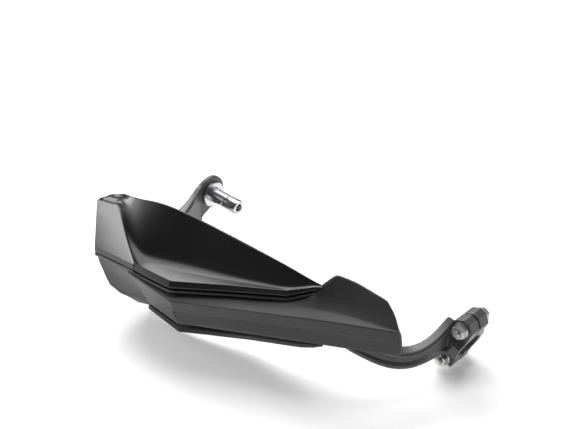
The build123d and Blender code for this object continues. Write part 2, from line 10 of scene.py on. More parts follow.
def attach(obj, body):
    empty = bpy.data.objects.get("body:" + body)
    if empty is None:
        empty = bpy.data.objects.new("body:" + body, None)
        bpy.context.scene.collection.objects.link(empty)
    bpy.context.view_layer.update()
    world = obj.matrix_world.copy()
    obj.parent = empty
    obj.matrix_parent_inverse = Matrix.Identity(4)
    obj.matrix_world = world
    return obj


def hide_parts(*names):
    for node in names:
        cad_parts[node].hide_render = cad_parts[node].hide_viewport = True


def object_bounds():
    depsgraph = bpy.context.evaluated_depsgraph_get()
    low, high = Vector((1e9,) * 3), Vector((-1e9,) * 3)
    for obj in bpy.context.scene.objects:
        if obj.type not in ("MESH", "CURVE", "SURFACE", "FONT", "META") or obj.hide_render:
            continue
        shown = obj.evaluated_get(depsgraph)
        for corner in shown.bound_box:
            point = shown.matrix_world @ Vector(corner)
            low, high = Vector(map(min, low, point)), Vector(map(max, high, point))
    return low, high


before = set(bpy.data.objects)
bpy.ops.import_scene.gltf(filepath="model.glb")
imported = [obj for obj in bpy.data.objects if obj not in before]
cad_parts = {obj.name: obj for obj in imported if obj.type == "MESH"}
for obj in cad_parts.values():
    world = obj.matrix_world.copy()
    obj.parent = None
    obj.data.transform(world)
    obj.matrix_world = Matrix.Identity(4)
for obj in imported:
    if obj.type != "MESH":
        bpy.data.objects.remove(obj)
cad_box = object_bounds()


# Outer arm: a cast aluminium gooseneck from the bar end to behind the shell, powder coated dark grey.
# Its eye is clamped under the bar-end bolt, and its straight lap is screwed to the shell with the inner arm.
# The fairing beside the eye has stations of x, y, lower and upper height and half width, in millimetres.
MM = 0.001
MERGE = 1e-6
ARM_SKIN = 0.0006
ARM_GREY = (0.066, 0.066, 0.068, 1)
CAST_PASSES = 4
GRAIN_HEIGHT = 0.0002
TINT_DRIFT = 0.14
GLOSS_RANGE = (0.15, 0.85)
FAIRING = [
    (-5.6, -4, -13, 13, 2.4),
    (-5.6, -13, -21, 10.2, 2.4),
    (-3.6, -21, -24, 6.6, 2.9),
    (-1.2, -30, -25, 4.2, 3.3),
    (2.6, -45, -24, 3.6, 3.4),
    (5.5, -58, -23, 3, 2.6),
]


def plain_piece(name, mesh, *nodes):
    """Object of a finished mesh that stands for its nodes."""
    piece = bpy.data.objects.new(name, mesh)
    bpy.context.scene.collection.objects.link(piece)
    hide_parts(*nodes)
    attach(piece, "root")
    return piece


def cast_copy(node, name, skin_size, fairing=()):
    """The node's shape with the softened edges of a casting, and metal filled in along a fairing."""
    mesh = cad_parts[node].data.copy()
    shape = bmesh.new()
    shape.from_mesh(mesh)
    bmesh.ops.remove_doubles(shape, verts=shape.verts, dist=2 * MERGE)
    rings = []
    for x, y, low, high, half in fairing:
        corners = [(x - half, low), (x + half, low), (x + half, high), (x - half, high)]
        rings.append([shape.verts.new((across * MM, y * MM, up * MM)) for across, up in corners])
    for near, far in zip(rings, rings[1:]):
        for k in range(4):
            shape.faces.new((near[k], near[k - 1], far[k - 1], far[k]))
    if rings:
        shape.faces.new(rings[0])
        shape.faces.new(rings[-1][::-1])
    shape.to_mesh(mesh)
    shape.free()
    blank = bpy.data.objects.new(name + "_blank", mesh)
    bpy.context.scene.collection.objects.link(blank)
    skin = blank.modifiers.new("cast skin", "REMESH")
    skin.mode = "VOXEL"
    skin.voxel_size = skin_size
    cast = bpy.data.meshes.new_from_object(blank.evaluated_get(bpy.context.evaluated_depsgraph_get()))
    bpy.data.objects.remove(blank)
    cast.name = name
    shape = bmesh.new()
    shape.from_mesh(cast)
    axes = {"use_axis_x": True, "use_axis_y": True, "use_axis_z": True}
    for _ in range(CAST_PASSES):
        bmesh.ops.smooth_vert(shape, verts=shape.verts, factor=0.5, **axes)
    shape.to_mesh(cast)
    shape.free()
    cast.shade_smooth()
    return plain_piece(name, cast, node)


def node_group(name, inputs, outputs):
    """Empty shader node group with named value inputs and outputs, and its two end nodes."""
    group = bpy.data.node_groups.new(name, "ShaderNodeTree")
    for label, default in inputs.items():
        socket = group.interface.new_socket(label, in_out="INPUT", socket_type="NodeSocketFloat")
        socket.default_value = default
    for label in outputs:
        group.interface.new_socket(label, in_out="OUTPUT", socket_type="NodeSocketFloat")
    return group, group.nodes.new("NodeGroupInput"), group.nodes.new("NodeGroupOutput")


def cast_grain_group():
    """Fine speckle of a coated or moulded skin, and slow uneven gloss across it."""
    group, given, result = node_group("skin grain", {"Grain": 900.0, "Cloud": 22.0}, ["Height", "Gloss"])
    place = group.nodes.new("ShaderNodeTexCoord")
    grain = group.nodes.new("ShaderNodeTexNoise")
    grain.inputs["Detail"].default_value = 3
    cloud = group.nodes.new("ShaderNodeTexNoise")
    cloud.inputs["Detail"].default_value = 4
    for texture, label in ((grain, "Grain"), (cloud, "Cloud")):
        group.links.new(place.outputs["Object"], texture.inputs["Vector"])
        group.links.new(given.outputs[label], texture.inputs["Scale"])
    group.links.new(grain.outputs["Fac"], result.inputs["Height"])
    group.links.new(cloud.outputs["Fac"], result.inputs["Gloss"])
    return group


SKIN_GRAIN = cast_grain_group()


def coated_material(name, colour, dull, glossy, grain, bump, metal=0.0):
    """Coated or moulded surface: grain in the normal, and gloss that drifts between two roughness values."""
    material = bpy.data.materials.new(name)
    material.use_nodes = True
    nodes, links = material.node_tree.nodes, material.node_tree.links
    shader = nodes["Principled BSDF"]
    shader.inputs["Metallic"].default_value = metal
    skin = nodes.new("ShaderNodeGroup")
    skin.node_tree = SKIN_GRAIN
    skin.inputs["Grain"].default_value = grain
    tint = nodes.new("ShaderNodeMix")
    tint.data_type = "RGBA"
    tint.inputs["A"].default_value = [(1 - TINT_DRIFT) * c for c in colour[:3]] + [1]
    tint.inputs["B"].default_value = [(1 + TINT_DRIFT) * c for c in colour[:3]] + [1]
    links.new(skin.outputs["Gloss"], tint.inputs["Factor"])
    links.new(tint.outputs["Result"], shader.inputs["Base Color"])
    gloss = nodes.new("ShaderNodeMapRange")
    gloss.inputs["From Min"].default_value = GLOSS_RANGE[0]
    gloss.inputs["From Max"].default_value = GLOSS_RANGE[1]
    gloss.inputs["To Min"].default_value = dull
    gloss.inputs["To Max"].default_value = glossy
    links.new(skin.outputs["Gloss"], gloss.inputs["Value"])
    links.new(gloss.outputs["Result"], shader.inputs["Roughness"])
    relief = nodes.new("ShaderNodeBump")
    relief.inputs["Strength"].default_value = bump
    relief.inputs["Distance"].default_value = GRAIN_HEIGHT
    links.new(skin.outputs["Height"], relief.inputs["Height"])
    links.new(relief.outputs["Normal"], shader.inputs["Normal"])
    return material


def dress(piece, material):
    """One material all over."""
    piece.data.materials.clear()
    piece.data.materials.append(material)


powder_coat = coated_material("powder coat", ARM_GREY, dull=0.40, glossy=0.32, grain=1400, bump=0.25)
outer_arm = cast_copy("outer_arm", "outer_arm_casting", ARM_SKIN, FAIRING)
dress(outer_arm, powder_coat)


# Inner arm and clamp cap: the cast arm from the shell's screws to the handlebar clamp, whose front half is
# cast on its end, and the loose rear half; the same dark grey powder coat.
CLAMP_SKIN = 0.00045
for node in ("inner_arm", "clamp_cap"):
    dress(cast_copy(node, node + "_casting", CLAMP_SKIN), powder_coat)


# Bar-end plug: a collared sleeve and a wedge turned from one bright aluminium bar and cut obliquely,
# with the fine rings that the lathe tool leaves round the axis. The bolt draws the wedge up the cut.
# The faces of the cut are painted near-black, as shade in the gap between sleeve and wedge.
ALUMINIUM = (0.58, 0.58, 0.59, 1)
PLUG_TURNS = 96
SHARP_ANGLE = 28
RING_SCALE = 1500
RING_WANDER = 1.5
RING_ROUGHNESS = (0.22, 0.30)
RING_STRENGTH = 0.05
RING_HEIGHT = 0.0001
SLEEVE_ROWS = [(-3, 10.4), (-2.6, 10.8), (-0.4, 10.8), (0, 10.4), (0, 6.7)]
SLEEVE_ROWS += [(0.4, 6.3), (24, 6.3), (24, 3.3), (-2.7, 3.3), (-3, 3.6)]
WEDGE_ROWS = [(4, 6.3), (28, 6.3), (28.6, 6.0), (29, 5.4), (29, 3.5), (28.5, 3), (4, 3)]
CUT_MIDDLE = 14.0
CUT_SLOPE = 8.0 / 12.6
CUT_HALF_GAP = 0.5
# Near-black for the faces of the oblique cut: painted shade standing in for the dark gap between sleeve and
# wedge.
CUT_SHADE_BLACK = (0.01, 0.01, 0.01, 1)
PLUG_AXES = (Vector((1, 0, 0)), Vector((0, 1, 0)), Vector((0, 0, 1)))


def band(shape, near, far):
    """Quads between two rings of as many points."""
    for k in range(len(near)):
        m = (k + 1) % len(near)
        shape.faces.new((near[k], near[m], far[m], far[k]))


def turned(shape, rows, axes, start=Vector(), segments=48, solid=False):
    """Lathe work: rows of (distance, radius) round an axis; a radius may depend on the angle."""
    along, side, up = axes
    turns = [2 * pi * k / segments for k in range(segments)]
    rings = []
    for distance, radius in rows:
        sizes = [radius(a) if callable(radius) else radius for a in turns]
        spots = [start + along * distance + (side * cos(a) + up * sin(a)) * r for a, r in zip(turns, sizes)]
        rings.append([shape.verts.new(spot * MM) for spot in spots])
    pairs = list(zip(rings, rings[1:]))
    if solid:
        for ring in (rings[0], rings[-1]):
            shape.faces.new(ring)
    else:
        pairs.append((rings[-1], rings[0]))
    for near, far in pairs:
        band(shape, near, far)


def smooth_mesh(name, shape):
    """Finished mesh from one in the making: points merged, faces outward, smooth all over."""
    bmesh.ops.remove_doubles(shape, verts=shape.verts, dist=MERGE)
    bmesh.ops.recalc_face_normals(shape, faces=shape.faces)
    mesh = bpy.data.meshes.new(name)
    shape.to_mesh(mesh)
    shape.free()
    mesh.shade_smooth()
    return mesh


def crisp_mesh(name, shape):
    """Finished mesh of a machined piece, smooth except over its sharp edges."""
    mesh = smooth_mesh(name, shape)
    mesh.set_sharp_from_angle(angle=radians(SHARP_ANGLE))
    return mesh


def cut_obliquely(shape, side):
    """Keeps what lies on one side of the plug's oblique cut, and closes the cut; the closing faces take the
    second slot, which is painted shade.
    """
    spot = Vector((CUT_MIDDLE + side * CUT_HALF_GAP, 0, 0)) * MM
    slope = Vector((1, 0, -CUT_SLOPE)) * side
    whole = shape.verts[:] + shape.edges[:] + shape.faces[:]
    cut = bmesh.ops.bisect_plane(shape, geom=whole, plane_co=spot, plane_no=slope, clear_inner=True)
    rims = [item for item in cut["geom_cut"] if isinstance(item, bmesh.types.BMEdge)]
    filled = bmesh.ops.triangle_fill(shape, edges=rims, use_beauty=True)
    for item in filled["geom"]:
        if isinstance(item, bmesh.types.BMFace):
            item.material_index = 1


def turned_material():
    """Bright turned aluminium: rings across the plug's axis in the normal and the gloss."""
    material = bpy.data.materials.new("turned aluminium")
    material.use_nodes = True
    nodes, links = material.node_tree.nodes, material.node_tree.links
    shader = nodes["Principled BSDF"]
    shader.inputs["Base Color"].default_value = ALUMINIUM
    shader.inputs["Metallic"].default_value = 1
    place = nodes.new("ShaderNodeTexCoord")
    rings = nodes.new("ShaderNodeTexWave")
    rings.wave_type = "BANDS"
    rings.bands_direction = "X"
    rings.inputs["Scale"].default_value = RING_SCALE
    rings.inputs["Distortion"].default_value = RING_WANDER
    links.new(place.outputs["Object"], rings.inputs["Vector"])
    gloss = nodes.new("ShaderNodeMapRange")
    gloss.inputs["To Min"].default_value = RING_ROUGHNESS[0]
    gloss.inputs["To Max"].default_value = RING_ROUGHNESS[1]
    links.new(rings.outputs["Fac"], gloss.inputs["Value"])
    links.new(gloss.outputs["Result"], shader.inputs["Roughness"])
    relief = nodes.new("ShaderNodeBump")
    relief.inputs["Strength"].default_value = RING_STRENGTH
    relief.inputs["Distance"].default_value = RING_HEIGHT
    links.new(rings.outputs["Fac"], relief.inputs["Height"])
    links.new(relief.outputs["Normal"], shader.inputs["Normal"])
    return material


turned_aluminium = turned_material()
# The cut faces take this near-black material: painted shade in the gap between sleeve and wedge.
painted_cut_shade = coated_material("painted shade in the cut", CUT_SHADE_BLACK, dull=0.55, glossy=0.45, grain=900, bump=0.1)
bright_metal = []
for half, rows, side in (("plug_sleeve", SLEEVE_ROWS, -1), ("plug_wedge", WEDGE_ROWS, 1)):
    plug_shape = bmesh.new()
    turned(plug_shape, rows, PLUG_AXES, segments=PLUG_TURNS)
    cut_obliquely(plug_shape, side)
    plug_half = plain_piece(half + "_turned", crisp_mesh(half + "_turned", plug_shape), half)
    dress(plug_half, turned_aluminium)
    plug_half.data.materials.append(painted_cut_shade)
    bright_metal.append(plug_half)


# Fasteners: zinc-plated steel flange bolts and nuts, socket screws, washer and small screws, slightly
# clouded, and the brass inserts. Each is turned or pressed once, then set at its seats with its thread.
ZINC = (0.52, 0.52, 0.51, 1)
BRASS = (0.70, 0.55, 0.25, 1)
CLAMP_SPOT = Vector((260, 0, -8.5))
CLAMP_DROOP = radians(23)
CLAMP_UP = Vector((sin(CLAMP_DROOP), 0, cos(CLAMP_DROOP)))
CLAMP_BACK = Vector((0, 1, 0))
BOLT_HEIGHTS = (19.5, -16.8)
LUG_DEPTH = 10.5
LAP_SCREWS = [Vector((139, -100, 13)), Vector((196, -79, 15))]
LAP_BACK = Vector((-21, 57, 0)).normalized()
LAP_THICK = 5.0
BAR_AXIS = Vector((-1, 0, 0))
BAR_BOLT_SEAT = Vector((-9.6, 0, 0))
WASHER_SEAT = Vector((-8.2, 0, 0))
HEX_FLATS = 10.0
UNCUT = 9.0
SOCKET_DEPTH = 2.2
SHANK_RADIUS = 3.0
BOLT_LENGTH = 29.5
SCREW_LENGTH = 11.0
BAR_BOLT_LENGTH = 33.6
THREAD_RADIUS = 2.72
CREST_RADIUS = 0.00032
NUT_BORE = [(6, 3.5), (5.6, 3.05), (0.4, 3.05), (0, 3.4)]
INSERT_ROWS = [(0, 4.3), (-0.2, 4.5), (-1.6, 4.5), (-2, 4.2), (-4, 4.2), (-4.4, 4.5), (-6, 4.4)]
INSERT_ROWS += [(-6, 3.1), (-0.3, 3.1), (0, 3.4)]
WASHER_ROWS = [(0, 7.5), (0.2, 7.75), (1.2, 7.75), (1.4, 7.5), (1.4, 3.4), (0, 3.4)]


def hexagon(flats, limit):
    """Radius of a hexagon at an angle, cut off at a limit as the chamfer's cone does."""
    return lambda angle: min(limit, flats / 2 / cos((angle + pi / 6) % (pi / 3) - pi / 6))


def fastener_tree():
    """Geometry nodes: a fastener and its thread, set at every seat along the seat's axis."""
    tree = bpy.data.node_groups.new("fasteners at their seats", "GeometryNodeTree")
    tree.interface.new_socket("Seats", in_out="INPUT", socket_type="NodeSocketGeometry")
    tree.interface.new_socket("Fastener", in_out="INPUT", socket_type="NodeSocketObject")
    tree.interface.new_socket("Finish", in_out="INPUT", socket_type="NodeSocketMaterial")
    for label in ("Thread Radius", "Thread Height", "Thread Start", "Turns"):
        tree.interface.new_socket(label, in_out="INPUT", socket_type="NodeSocketFloat")
    tree.interface.new_socket("Set", in_out="OUTPUT", socket_type="NodeSocketGeometry")
    nodes, links = tree.nodes, tree.links
    given, result = nodes.new("NodeGroupInput"), nodes.new("NodeGroupOutput")
    body = nodes.new("GeometryNodeObjectInfo")
    links.new(given.outputs["Fastener"], body.inputs["Object"])
    helix = nodes.new("GeometryNodeCurveSpiral")
    helix.inputs["Resolution"].default_value = 24
    links.new(given.outputs["Turns"], helix.inputs["Rotations"])
    links.new(given.outputs["Thread Radius"], helix.inputs["Start Radius"])
    links.new(given.outputs["Thread Radius"], helix.inputs["End Radius"])
    links.new(given.outputs["Thread Height"], helix.inputs["Height"])
    crest = nodes.new("GeometryNodeCurvePrimitiveCircle")
    crest.inputs["Resolution"].default_value = 4
    crest.inputs["Radius"].default_value = CREST_RADIUS
    thread = nodes.new("GeometryNodeCurveToMesh")
    thread.inputs["Fill Caps"].default_value = True
    links.new(helix.outputs["Curve"], thread.inputs["Curve"])
    links.new(crest.outputs["Curve"], thread.inputs["Profile Curve"])
    lift = nodes.new("ShaderNodeCombineXYZ")
    links.new(given.outputs["Thread Start"], lift.inputs["Z"])
    place = nodes.new("GeometryNodeTransform")
    links.new(thread.outputs["Mesh"], place.inputs["Geometry"])
    links.new(lift.outputs["Vector"], place.inputs["Translation"])
    whole = nodes.new("GeometryNodeJoinGeometry")
    links.new(body.outputs["Geometry"], whole.inputs["Geometry"])
    links.new(place.outputs["Geometry"], whole.inputs["Geometry"])
    axis = nodes.new("GeometryNodeInputNamedAttribute")
    axis.data_type = "FLOAT_VECTOR"
    axis.inputs["Name"].default_value = "axis"
    facing = nodes.new("FunctionNodeAlignRotationToVector")
    facing.axis = "Z"
    links.new(axis.outputs["Attribute"], facing.inputs["Vector"])
    seated = nodes.new("GeometryNodeInstanceOnPoints")
    links.new(given.outputs["Seats"], seated.inputs["Points"])
    links.new(whole.outputs["Geometry"], seated.inputs["Instance"])
    links.new(facing.outputs["Rotation"], seated.inputs["Rotation"])
    real = nodes.new("GeometryNodeRealizeInstances")
    links.new(seated.outputs["Instances"], real.inputs["Geometry"])
    finish = nodes.new("GeometryNodeSetMaterial")
    links.new(real.outputs["Geometry"], finish.inputs["Geometry"])
    links.new(given.outputs["Finish"], finish.inputs["Material"])
    links.new(finish.outputs["Geometry"], result.inputs["Set"])
    return tree


FASTENER_TREE = fastener_tree()
UPRIGHT_AXES = (Vector((0, 0, 1)), Vector((1, 0, 0)), Vector((0, 1, 0)))


def fastener_set(node, bodies, seats, axis, material, thread=(0, 0, 0)):
    """All fasteners of a node, set at their seats along an axis; the thread has height, start and turns."""
    shape = bmesh.new()
    for rows, solid in bodies:
        turned(shape, rows, UPRIGHT_AXES, solid=solid)
    body = bpy.data.objects.new(node + "_body", crisp_mesh(node + "_body", shape))
    bpy.context.scene.collection.objects.link(body)
    points = bpy.data.meshes.new(node + "_seats")
    points.from_pydata([tuple(seat * MM) for seat in seats], [], [])
    attribute = points.attributes.new("axis", "FLOAT_VECTOR", "POINT")
    for item in attribute.data:
        item.vector = axis
    holder = bpy.data.objects.new(node + "_seats", points)
    bpy.context.scene.collection.objects.link(holder)
    setting = holder.modifiers.new("seats", "NODES")
    setting.node_group = FASTENER_TREE
    height, start, turns = thread
    values = {"Fastener": body, "Finish": material, "Thread Radius": THREAD_RADIUS * MM}
    values.update({"Thread Height": height * MM, "Thread Start": start * MM, "Turns": float(turns)})
    for item in FASTENER_TREE.interface.items_tree:
        if item.name in values:
            setting[item.identifier] = values[item.name]
    mesh = bpy.data.meshes.new_from_object(holder.evaluated_get(bpy.context.evaluated_depsgraph_get()))
    mesh.name = node + "_set"
    bpy.data.objects.remove(holder)
    bpy.data.objects.remove(body)
    piece = plain_piece(node + "_set", mesh, node)
    bright_metal.append(piece)


def socket_rows(radius, height, flats, crown):
    """Rows of a socket head from its seat up, round its crown and down into the hexagon socket."""
    low = height - crown
    dome = [(low + crown * sin(a), radius - crown * 1.6 * (1 - cos(a))) for a in (0.4, 0.8, 1.2, 1.57)]
    wall = hexagon(flats, UNCUT)
    rows = [(0, 0.96 * radius), (0.2, radius), (low, radius)] + dome
    return rows + [(height, wall), (height - SOCKET_DEPTH, wall), (height - SOCKET_DEPTH - 0.2, 0.05)]


def shank_rows(length):
    """Rows of a screw's core from its chamfered tip up to its seat."""
    core = SHANK_RADIUS - 0.3
    return [(-length, SHANK_RADIUS - 0.8), (0.5 - length, core), (0.1, core)]


zinc_plate = coated_material("zinc plate", ZINC, dull=0.44, glossy=0.36, grain=700, bump=0.12, metal=1.0)
plain_brass = coated_material("plain brass", BRASS, dull=0.40, glossy=0.30, grain=700, bump=0.12, metal=1.0)
flank = hexagon(HEX_FLATS, UNCUT)
flanged_hex = [(0, 6.0), (0.2, 6.25), (1.0, 6.25), (1.4, 5.9), (1.9, hexagon(HEX_FLATS, 5.3)), (2.3, flank)]
flanged_hex += [(5.4, flank), (5.75, hexagon(HEX_FLATS, 5.35)), (6, hexagon(HEX_FLATS, 4.85))]
bolt_seats = [CLAMP_SPOT + CLAMP_UP * height + CLAMP_BACK * LUG_DEPTH for height in BOLT_HEIGHTS]
fastener_set(
    "clamp_bolts", [(flanged_hex, True), (shank_rows(BOLT_LENGTH), True)],
    bolt_seats, CLAMP_BACK, zinc_plate, thread=(10.5, -29.2, 10),
)
nut_seats = [CLAMP_SPOT + CLAMP_UP * height - CLAMP_BACK * LUG_DEPTH for height in BOLT_HEIGHTS]
fastener_set(
    "clamp_nuts", [(flanged_hex + NUT_BORE, False)],
    nut_seats, -CLAMP_BACK, zinc_plate,
)
screw_seats = [spot + LAP_BACK * LAP_THICK for spot in LAP_SCREWS]
fastener_set(
    "shell_screws", [(socket_rows(5.5, 3.4, 4, 1.6), True), (shank_rows(SCREW_LENGTH), True)],
    screw_seats, LAP_BACK, zinc_plate, thread=(7, -10.7, 7),
)
insert_seats = [spot - LAP_BACK * LAP_THICK for spot in LAP_SCREWS]
fastener_set(
    "shell_inserts", [(INSERT_ROWS, False)],
    insert_seats, LAP_BACK, plain_brass,
)
fastener_set(
    "bar_end_bolt", [(socket_rows(5.5, 6, 5, 0.7), True), (shank_rows(BAR_BOLT_LENGTH), True)],
    [BAR_BOLT_SEAT], BAR_AXIS, zinc_plate, thread=(14, -33.3, 14),
)
fastener_set(
    "bar_end_washer", [(WASHER_ROWS, False)],
    [WASHER_SEAT], BAR_AXIS, zinc_plate,
)
for node in ("panel_screws", "deflector_screws"):
    small_shape = bmesh.new()
    small_shape.from_mesh(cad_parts[node].data)
    small = plain_piece(node + "_plated", crisp_mesh(node + "_plated", small_shape), node)
    dress(small, zinc_plate)
    bright_metal.append(small)


# Main shell: the injection-moulded guard with its creased front, cheek, nose and wing, in finely textured
# black. It is one moulding with a 3 mm wall, and a ledge under the panel's edge that the panel sits on.
SHELL_WALL = 3.0
SHELL_BLACK = (0.018, 0.018, 0.0185, 1)
SHELL_STEP = 1.2
SHELL_ROUND = [5.0, 3.0, 1.6, 0.9, 0.6, 0.6]
SHELL_EDGE = 0.0007
STRAIGHT_POINTS = 5
BEND_POINTS = 6
EDGE_TURNS = 6
LONGEST_SETBACK = 0.45
BEVEL_ANGLE = 50
CREASE_SHARE = 0.41
CREASE_RUN = 2.0


def stepped(top, bottom, step):
    """Front face from the upper crease to the lower edge, with the small inward step part-way down."""
    length = hypot(bottom[0] - top[0], bottom[1] - top[1])
    along = ((bottom[0] - top[0]) / length, (bottom[1] - top[1]) / length)
    upper = (top[0] + CREASE_SHARE * (bottom[0] - top[0]), top[1] + CREASE_SHARE * (bottom[1] - top[1]))
    lower = (
        upper[0] + CREASE_RUN * along[0] + step * along[1],
        upper[1] + CREASE_RUN * along[1] - step * along[0],
    )
    return [top, upper, lower, bottom]


def inset(corners, wall):
    """The inner side of a wall: each corner of an open outline moved to its mitred inner corner."""
    normals = []
    for (x0, y0), (x1, y1) in zip(corners, corners[1:]):
        length = hypot(x1 - x0, y1 - y0)
        normals.append(((y1 - y0) / length, (x0 - x1) / length))
    inner = []
    for (x, y), before, after in zip(corners, normals[:1] + normals, normals + normals[-1:]):
        share = wall / (1 + before[0] * after[0] + before[1] * after[1])
        inner.append((x + share * (before[0] + after[0]), y + share * (before[1] + after[1])))
    return inner


def rounded_path(corners, setbacks, straight=STRAIGHT_POINTS, bend=BEND_POINTS, crowd=1.0):
    """Points along an open outline, inner corners rounded off over their setbacks, crowded at the start."""
    corners = [np.array(corner, float) for corner in corners]
    path = [corners[0]]
    power = crowd
    for before, corner, after, setback in zip(corners, corners[1:], corners[2:], setbacks):
        start = corner + (before - corner) * min(LONGEST_SETBACK, setback / np.linalg.norm(before - corner))
        stop = corner + (after - corner) * min(LONGEST_SETBACK, setback / np.linalg.norm(after - corner))
        last = path[-1]
        path += [last + (start - last) * (k / straight) ** power for k in range(1, straight + 1)]
        power = 1.0
        for k in range(1, bend + 1):
            t = k / bend
            path.append((1 - t) ** 2 * start + 2 * t * (1 - t) * corner + t * t * stop)
    last = path[-1]
    path += [last + (corners[-1] - last) * k / straight for k in range(1, straight + 1)]
    return np.array(path)


def unit(vector):
    """The vector at a length of one."""
    return vector / np.linalg.norm(vector)


def at_station(loop, x, y, turn):
    """Points of a section, (forward, height), set at their station in the part's frame."""
    forward = (sin(radians(turn)), -cos(radians(turn)))
    return np.stack([x + loop[:, 0] * forward[0], y + loop[:, 0] * forward[1], loop[:, 1]], axis=1)


def rounded_end(outer, inner, outward):
    """Points round the free edge of a wall, from its outer to its inner face."""
    middle, half = (outer + inner) / 2, (outer - inner) / 2
    bulge = outward * np.linalg.norm(half)
    turns = [pi * k / (EDGE_TURNS + 1) for k in range(1, EDGE_TURNS + 1)]
    return np.array([middle + half * cos(a) + bulge * sin(a) for a in turns])


def wall_ring(station, setbacks, wall, straight=STRAIGHT_POINTS, bend=BEND_POINTS, crowd=1.0):
    """Closed loop of points round a wall's section at a station: outer face, edge, inner face, edge."""
    x, y, turn, corners = station
    corners = [np.array(corner, float) for corner in corners]
    for end, near in ((0, 1), (-1, -2)):
        run = corners[near] - corners[end]
        corners[end] = corners[end] + unit(run) * min(wall / 2, 0.4 * np.linalg.norm(run))
    outer = rounded_path(corners, setbacks, straight, bend, crowd)
    inner = rounded_path(inset([tuple(c) for c in corners], wall), setbacks, straight, bend, crowd)
    start = rounded_end(inner[0], outer[0], unit(outer[0] - outer[1]))
    stop = rounded_end(outer[-1], inner[-1], unit(outer[-1] - outer[-2]))
    return at_station(np.concatenate([outer, stop, inner[::-1], start]), x, y, turn)


def row_counts(rings, step):
    """How many rows lie between neighbouring rings, for steps of about a given length."""
    spans = [np.linalg.norm(far - near, axis=1).mean() for near, far in zip(rings, rings[1:])]
    return [max(2, round(span / step)) for span in spans]


def filled_rows(rings, step):
    """Rings of like points joined by straight rows, divided into steps of about the given length."""
    grid = [rings[0]]
    for near, far, count in zip(rings, rings[1:], row_counts(rings, step)):
        grid += [near + (far - near) * k / count for k in range(1, count + 1)]
    return np.array(grid)


def eased_rows(grid, reach, step):
    """Rows smoothed over a reach in millimetres that is given for every point; both ends stay."""
    longest = reach.max() / step
    passes = int(2 * longest * longest) + 1
    weight = ((reach / step) ** 2 * 2 / passes)[1:-1, :, None]
    for _ in range(passes):
        grid[1:-1] += weight * (0.25 * grid[:-2] + 0.25 * grid[2:] - 0.5 * grid[1:-1])
    return grid


def round_wall(values):
    """A value for each point of a wall's outer face, carried round its edges to the inner face."""
    first, last = np.full(EDGE_TURNS, values[0]), np.full(EDGE_TURNS, values[-1])
    return np.concatenate([values, last, values[::-1], first])


def station_stops(rings, step):
    """Row numbers at which the stations of a filled grid stand."""
    return np.concatenate([[0], np.cumsum(row_counts(rings, step))])


def trimmed_rows(grid, outline):
    """Each row cut where it first crosses an outline seen from the front, (x, z), and divided evenly."""
    heights = np.array([z for x, z in outline])
    spots = np.array([x for x, z in outline])
    order = np.argsort(heights)
    rows = np.zeros_like(grid)
    place = np.arange(len(grid), dtype=float)
    for row in range(grid.shape[1]):
        line = grid[:, row]
        beyond = line[:, 0] - np.interp(line[:, 2], heights[order], spots[order])
        index = int(np.argmax(beyond > 0))
        cut = float(index)
        if index > 0:
            cut = index - beyond[index] / (beyond[index] - beyond[index - 1])
        where = np.linspace(cut, len(line) - 1.0, len(line))
        for axis in range(3):
            rows[:, row, axis] = np.interp(where, place, line[:, axis])
    return rows


def ring_rows(shape, grid):
    """Adds rows of rings to a mesh in the making, joins each to the next, and gives their points."""
    spots = [[shape.verts.new(tuple(p * MM)) for p in ring] for ring in grid]
    for near, far in zip(spots, spots[1:]):
        band(shape, near, far)
    return spots


def wall_mesh(shape, grid):
    """Adds a wall's rows of rings to a mesh, and closes both of its ends between outer and inner face."""
    spots = ring_rows(shape, grid)
    around = grid.shape[1]
    for ring in (spots[0], spots[-1]):
        circle = [ring[(k - EDGE_TURNS // 2) % around] for k in range(around)]
        for k in range(around // 2 - 1):
            shape.faces.new((circle[k], circle[k + 1], circle[around - 2 - k], circle[around - 1 - k]))


def moulded_piece(name, shape, node, edge):
    """Finished moulding from a mesh in the making, its trimmed edges rounded."""
    piece = plain_piece(name, smooth_mesh(name, shape), node)
    bevel = piece.modifiers.new("rounded edges", "BEVEL")
    bevel.width = edge
    bevel.segments = 2
    bevel.limit_method = "ANGLE"
    bevel.angle_limit = radians(BEVEL_ANGLE)
    return piece


def corner_cut(distance, radius):
    """How far a rounded corner stands back at a distance from the edge that it turns into."""
    left = np.clip(radius - distance, 0, radius)
    return radius - np.sqrt(radius * radius - left * left)


def seated_boss(shape, wall, rows, axes, start, margin=0.0):
    """Lathe work whose farthest rows are let into the wall that they meet, whatever its slope."""
    known = len(shape.verts)
    turned(shape, rows, axes, start)
    shape.verts.ensure_lookup_table()
    along = axes[0]
    for vert in shape.verts[known:]:
        reach = (vert.co / MM - start).dot(along)
        if reach < 0.99 * BOSS_FOOT:
            continue
        far = wall.ray_cast(vert.co - along * (reach + margin) * MM, along)[3]
        if far is not None:
            vert.co += along * (far + (BOSS_BURIED - reach - margin) * MM)


